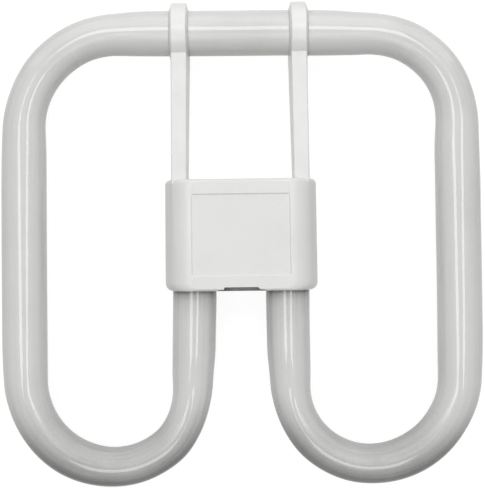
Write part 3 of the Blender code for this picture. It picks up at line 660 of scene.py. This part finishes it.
def clipBand(x):
    # Section of the clip, a taper with two rounded edges, carried round the tube from one lip to the other: y = middle
    # of the tube + radius * sin, z = middle + radius * cos. It starts deeper than the hole that is cut afterwards.
    inner = arm["clipInner"] - arm["clipSink"]
    taper = (arm["clipRoot"] - arm["clipFace"]) / (arm["clipOuter"] - arm["clipInner"])
    halfInner, halfFace = (arm["clipRoot"] + taper * (arm["clipInner"] - inner)) / 2, arm["clipFace"] / 2
    edge, rim, steps = arm["edge"], arm["clipOuter"] - arm["edge"], arm["edgeSteps"]
    section = np.vstack([
        [(halfInner, inner)], arcPoints((halfFace - edge, rim), edge, 0, math.pi / 2, steps),
        arcPoints((edge - halfFace, rim), edge, math.pi / 2, math.pi, steps), [(-halfInner, inner)],
    ])
    angle = np.linspace(-arm["clipWrap"], arm["clipWrap"], arm["steps"])[:, None]
    across, radius = section.T
    rings = np.stack([x + across + 0 * angle, tube["topY"] + radius * np.sin(angle),
                      tube["planeZ"] + radius * np.cos(angle)], axis=-1)
    return skinRings("clip_band", rings)


def prismBody(name, outline, low, high):
    # An outline in X and Y, raised between two heights.
    rings = np.zeros((2, len(outline), 3))
    rings[..., :2] = outline
    rings[..., 2] = np.array([low, high])[:, None]
    return skinRings(name, rings)


def makeFrontCover():
    # The shell, joined with the arms and clips; then channels, holes for the glass and the slot are cut away.
    cover = coverLoft()
    joined, cuts = [], []
    capEnd, past = cap["y"] + cap["halfLength"], cap["cutPast"]
    lipEnd = tube["topY"] - arm["clipInner"] * math.sin(arm["clipWrap"])
    for side in (-1, 1):
        joined.append(("UNION", skinRings("arm", armRun(side, capEnd - cap["endWall"], lipEnd))))
        joined.append(("UNION", clipBand(side * arm["clipX"])))
        channel = armRun(side, capEnd + arm["wall"], tube["topY"] - arm["clipOuter"], arm["wall"])
        cuts.append(("DIFFERENCE", skinRings("channel", channel)))
    reach = arm["clipX"] + arm["clipRoot"]
    hole = turnedRings([(-reach, cap["holeRadius"]), (reach, cap["holeRadius"])], 0, cap["holeSides"])
    hole[..., 1] += tube["topY"]
    hole[..., 2] += tube["planeZ"]
    cuts.append(("DIFFERENCE", skinRings("glass_hole", hole)))
    start, radius = cap["y"] - cap["halfLength"], cap["holeRadius"]
    for x in (-tube["legX"], tube["legX"]):
        outline = np.vstack([arcPoints((x, tube["planeZ"]), radius, 0, math.pi, cap["slotSteps"]),
                             [(x - radius, cap["rim"] - past), (x + radius, cap["rim"] - past)]])
        slot = drawnBetween(outline, start - past, outline, start + 2 * cap["endWall"])
        cuts.append(("DIFFERENCE", skinRings("slot", slot)))
    # The slot behind the lower edge is deep, so it looks dark. It runs out in a narrow tail at each end.
    notch = np.array(cap["notch"]) / 1000 + (0, start)
    cuts.append(("DIFFERENCE", prismBody("notch", notch, cap["front"] - cap["notchDepth"], cap["front"] + past)))
    combine(cover, joined + cuts)
    softenEdges(cover, cap["edge"])
    standFor(cover, "white_plastic", "front_cover")


makeFrontCover()
print("front cover is made")

# The rear housing has a recess for the lampholder in its back. Walls stand round the recess inside.
rear = {
    "y": 0.0025, "top": 0.0114, "draft": 0.0004, "backEdge": 0.0010, "wall": 0.0024, "floor": 0.0016,
    "lipHeight": 0.0026, "fit": 0.0003, "recessHalfWidth": 0.0105, "recessHalfLength": 0.0065, "recessDepth": 0.0080,
    "recessCorner": 0.0008, "recessRim": 0.0004, "fill": 0.006, "towerWall": 0.0013, "towerTop": 0.0095,
    "ribs": ((-0.0117, 0.0016), (-0.0045, 0.0016)), "ribDrop": 0.0014,  # place on Y from the middle, and thickness
    "legStart": -0.020, "middleStart": -0.0114, "middleRadius": 0.00405, "channelSides": 96,
    "pinHole": 0.0015, "pinX": 0.0040, "holeSides": 48, "cutPast": 0.001,
    "markRadius": 0.0014, "markDepth": 0.00010,
    "markPlaces": ((-0.0160, -0.0085), (0.0160, -0.0085), (-0.0160, 0.0110), (0.0160, 0.0110)),
    "edge": 0.00015,
}


def rearLoft():
    # Rounded rectangles from the middle of the recess down to its rim, over the back and up the sides, over the lip,
    # down the inside and up the walls round the recess. Both edges at the back are quarter circles, and the sides lean
    # in towards the back by the draft, as the share of the height.
    cornerSize, low = cap["corner"], cap["lowerCorner"]
    recess = np.array([rear["recessHalfWidth"], rear["recessHalfLength"]])
    outer = np.array([cap["halfWidth"], cap["halfLength"]])
    rows = []  # half width, half length, corner, lower corner, height, middle

    def ring(size, corner, lower, height, y):
        rows.append((size[0], size[1], corner, lower, height, y))

    deep, rim = rear["recessCorner"], rear["recessRim"]
    ring(recess - rear["fill"], deep / 2, deep / 2, rear["recessDepth"], rear["y"])
    ring(recess, deep, deep, rear["recessDepth"], rear["y"])
    for turn in np.radians([0, 30, 60, 90]):
        grow = rim * (1 - math.cos(turn))
        ring(recess + grow, deep + grow, deep + grow, rim * (1 - math.sin(turn)), rear["y"])
    edge = rear["backEdge"]
    for turn in np.radians([0, 15, 30, 45, 60, 75, 90]):
        height = edge * (1 - math.cos(turn))
        inset = edge * (1 - math.sin(turn)) + rear["draft"] * (1 - height / rear["top"])
        ring(outer - inset, cornerSize, low, height, cap["y"])
    ring(outer, cornerSize, low, rear["top"], cap["y"])
    lip = outer - np.array([cap["sideWall"], cap["endWall"]]) - rear["fit"]
    lipTop = rear["top"] + rear["lipHeight"]
    for height in (rear["top"], lipTop):
        ring(lip, cornerSize / 2, cornerSize / 2, height, cap["y"])
    for height in (lipTop, rear["floor"]):
        ring(outer - rear["wall"], cornerSize / 2, cornerSize / 2, height, cap["y"])
    tower = recess + rear["towerWall"]
    for height in (rear["floor"], rear["towerTop"]):
        ring(tower, deep, deep, height, rear["y"])
    ring(tower - rear["fill"], deep / 2, deep / 2, rear["towerTop"], rear["y"])
    halfWidth, halfLength, corner, lower, height, y = np.array(rows).T
    return skinRings("rear_housing", roundedRings(halfWidth, halfLength, corner, height, y, lower), plastic)


def makeRearHousing():
    # The shell, joined with its ribs; then channels for the glass and the wiring, pin holes and ejector marks are cut.
    housing = rearLoft()
    joined, cuts = [], []
    leg, ribHalf = tube["legX"], cap["halfWidth"] - rear["wall"] + rear["fit"]
    sideTop, middleTop = rear["top"] + rear["lipHeight"] - rear["fit"], tube["planeZ"] - rear["ribDrop"]
    foot, tower = rear["floor"] / 2, rear["recessHalfWidth"] + rear["towerWall"] / 2
    roof = (rear["recessDepth"] + rear["towerTop"]) / 2
    for middle, thick in rear["ribs"]:
        # A rib that meets the walls of the recess passes over its roof.
        crossing = abs(middle) < rear["recessHalfLength"] + rear["towerWall"]
        over = [(-tower, foot), (-tower, roof), (tower, roof), (tower, foot)] if crossing else []
        outline = np.array([(-ribHalf, foot), *over, (ribHalf, foot), (ribHalf, sideTop), (leg, sideTop),
                            (leg, middleTop), (-leg, middleTop), (-leg, sideTop), (-ribHalf, sideTop)])
        start = rear["y"] + middle - thick / 2
        joined.append(("UNION", skinRings("rib", drawnBetween(outline, start, outline, start + thick))))
    legHole, middleHole = (rear["legStart"], cap["holeRadius"]), (rear["middleStart"], rear["middleRadius"])
    for x, (channelStart, radius) in ((-leg, legHole), (leg, legHole), (0, middleHole)):
        channel = turnedRings([(channelStart, radius), (tube["shoulderY"], radius)], 1, rear["channelSides"])
        channel[..., 0] += x
        channel[..., 2] += tube["planeZ"]
        cuts.append(("DIFFERENCE", skinRings("channel", channel)))
    past, sides = rear["cutPast"], rear["holeSides"]
    for x in (-rear["pinX"], rear["pinX"]):
        hole = turnedRings([(rear["floor"], rear["pinHole"]), (rear["towerTop"] + past, rear["pinHole"])], 2, sides)
        hole[..., :2] += (x, rear["y"])
        cuts.append(("DIFFERENCE", skinRings("pin_hole", hole)))
    for x, y in rear["markPlaces"]:
        mark = turnedRings([(-past, rear["markRadius"]), (rear["markDepth"], rear["markRadius"])], 2, sides)
        mark[..., :2] += (x, rear["y"] + y)
        cuts.append(("DIFFERENCE", skinRings("ejector_mark", mark)))
    combine(housing, joined + cuts)
    softenEdges(housing, rear["edge"])
    standFor(housing, "white_plastic", "rear_cover")


makeRearHousing()
print("rear housing is made")

pin = {
    "radius": 0.0012, "tip": 0.0010, "tipFrom": math.radians(4), "tipRings": 12,
    "flange": 0.0022, "flangeStart": 0.0098, "flangeEnd": 0.0106, "tail": 0.0009, "tailEnd": 0.0126,
    "groove": 0.00006, "groovePlace": 0.0012, "grooveSlope": 0.00015, "sides": 64, "edge": 0.00008,
}


def makePin(name, node, x):
    # Turned profile: half round tip, radius * sin at start - radius * cos, shank with a faint turning groove, flange
    # and tail.
    turn = np.linspace(pin["tipFrom"], math.pi / 2, pin["tipRings"])
    radius, start = pin["radius"], pin["tip"] + pin["radius"]
    groove, slope = start + pin["groovePlace"], pin["grooveSlope"]
    profile = [(start - radius * math.cos(angle), radius * math.sin(angle)) for angle in turn]
    profile += [(groove, radius), (groove + slope, radius - pin["groove"]), (groove + 2 * slope, radius),
                (pin["flangeStart"], radius), (pin["flangeStart"], pin["flange"]),
                (pin["flangeEnd"], pin["flange"]), (pin["flangeEnd"], pin["tail"]), (pin["tailEnd"], pin["tail"])]
    rings = turnedRings(profile, 2, pin["sides"])
    rings[..., :2] += (x, rear["y"])
    made = skinRings(name, rings, nickel)
    softenEdges(made, pin["edge"])
    standFor(made, "plated_brass", node)


makePin("turned_pin_left", "contact_pin_left", -rear["pinX"])
makePin("turned_pin_right", "contact_pin_right", rear["pinX"])
print("contact pins are made")

# The parts inside the cap keep their own shapes and get their finishes.
nodeFinish = {
    "starter_bulb": bulbGlass, "starter_capacitor": filmBox,
    "crimp_ferrule_left": nickel, "crimp_ferrule_right": nickel,
    "pin_lead_left": tinned, "pin_lead_right": tinned, "starter_lead_left": tinned, "starter_lead_right": tinned,
    "pin_lead_left_sleeve": braid, "pin_lead_right_sleeve": braid,
    "starter_lead_left_sleeve": braid, "starter_lead_right_sleeve": braid,
}
for nodeName, material in nodeFinish.items():
    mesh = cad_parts[nodeName].data
    mesh.materials.clear()
    mesh.materials.append(material)
print("the inner parts have their finishes")

studio = {
    "floorColour": (0.52, 0.52, 0.52, 1.0), "seenColour": (0.20, 0.20, 0.20, 1.0), "floorGlow": 0.88,
    "floorSize": 6.0, "floorBelow": -0.00005,  # a hair under the back, so that no faces coincide
    "worldColour": (1.0, 1.0, 1.0, 1.0), "worldStrength": 0.26,
}
# The strips make the bright lines in the glass. The window and the panel give soft light.
lamps = {
    "window": {"at": (0.0, 0.40, 0.28), "to": (0.0, 0.0, 0.28), "size": (1.1, 0.50), "watts": 1.60, "turn": 0},
    "panel": {"at": (0.0, 0.10, 1.25), "to": (0.0, 0.0, 0.0), "size": (1.7, 0.80), "watts": 1.25, "turn": 0},
    "topStrip": {"at": (0.0, 0.43, 1.12), "to": (0.0, 0.05, 0.0), "size": (0.6, 0.36), "watts": 2.95, "turn": 0},
    "leftStrip": {"at": (-0.37, 0.02, 1.12), "to": (-0.05, 0.0, 0.0), "size": (0.5, 0.24), "watts": 1.75, "turn": 30},
    "rightStrip": {"at": (0.36, 0.02, 1.12), "to": (0.05, 0.0, 0.0), "size": (0.5, 0.18), "watts": 1.35, "turn": -30},
    "lowStrip": {"at": (0.0, -0.41, 1.05), "to": (0.0, -0.05, 0.0), "size": (0.4, 0.30), "watts": 1.60, "turn": 0},
}
photo = {"height": 488, "scale": 0.000287, "distance": 0.455, "sensor": 36.0, "roll": 0.7, "centre": (0.00037, 0.0),
         "clip": (0.01, 20.0)}  # the height is in pixels, and the scale in metres per pixel


def makeFloor():
    # Matt paper that lights the lamp from below. Where the camera, gloss and glass see it, it is a darker paper that
    # glows, so that it shows as white with a faint shadow.
    half = studio["floorSize"] / 2
    below = studio["floorBelow"]
    points = np.array([(-half, -half, below), (half, -half, below), (half, half, below), (-half, half, below)])
    mesh = bpy.data.meshes.new("floor")
    mesh.from_pydata(points.tolist(), [], [(0, 1, 2, 3)])
    floor = bpy.data.objects.new("floor", mesh)
    bpy.context.scene.collection.objects.link(floor)
    paint = Paint("white paper", **{"Roughness": 0.9, "Specular IOR Level": 0.0})
    seen = paint.sawBy("Is Camera Ray", "Is Glossy Ray", "Is Transmission Ray")
    paint.finish(colour=paint.blend(seen, studio["floorColour"], studio["seenColour"]))
    glow = paint.node("ShaderNodeEmission", {}, {"Color": (1, 1, 1, 1), "Strength": seen * studio["floorGlow"]})
    both = paint.node("ShaderNodeAddShader", {}, {0: Wire(paint, paint.surface.outputs[0]), 1: glow})
    paint.feed(paint.tree.nodes["Material Output"].inputs["Surface"], both)
    mesh.materials.append(paint.material)


def makeWorld():
    # Even light, and plain white where the camera, gloss or glass looks at it.
    world = bpy.data.worlds.new("studio")
    bpy.context.scene.world = world
    world.use_nodes = True
    sky = NodeTree(world.node_tree)
    seen = sky.sawBy("Is Camera Ray", "Is Glossy Ray", "Is Transmission Ray")
    background = world.node_tree.nodes["Background"]
    background.inputs["Color"].default_value = studio["worldColour"]
    strength = studio["worldStrength"]
    sky.feed(background.inputs["Strength"], seen * (1 - strength) + strength)


def aim(item, target, turn):
    # Points the item at the target, then turns it about its own axis.
    direction = Vector(target) - item.location
    spin = Quaternion((0, 0, 1), math.radians(turn))
    item.rotation_euler = (direction.to_track_quat("-Z", "Y") @ spin).to_euler()


def makeLamps():
    for name, lamp in lamps.items():
        data = bpy.data.lights.new(name, "AREA")
        data.shape = "RECTANGLE"
        data.size, data.size_y = lamp["size"]
        data.energy = lamp["watts"]
        item = bpy.data.objects.new(name, data)
        item.location = lamp["at"]
        bpy.context.scene.collection.objects.link(item)
        aim(item, lamp["to"], lamp["turn"])


def makeCamera():
    # Straight above the lamp, at the distance from which the photograph was taken.
    data = bpy.data.cameras.new("camera")
    data.sensor_width = photo["sensor"]
    data.lens = photo["sensor"] * photo["distance"] / (photo["height"] * photo["scale"])
    data.clip_start, data.clip_end = photo["clip"]
    camera = bpy.data.objects.new("camera", data)
    camera.location = (*photo["centre"], tube["planeZ"] + photo["distance"])
    camera.rotation_euler = (0, 0, math.radians(-photo["roll"]))
    bpy.context.scene.collection.objects.link(camera)
    bpy.context.scene.camera = camera


makeFloor()
makeWorld()
makeLamps()
makeCamera()
bpy.context.scene.view_settings.view_transform = "Standard"
print("studio is ready")
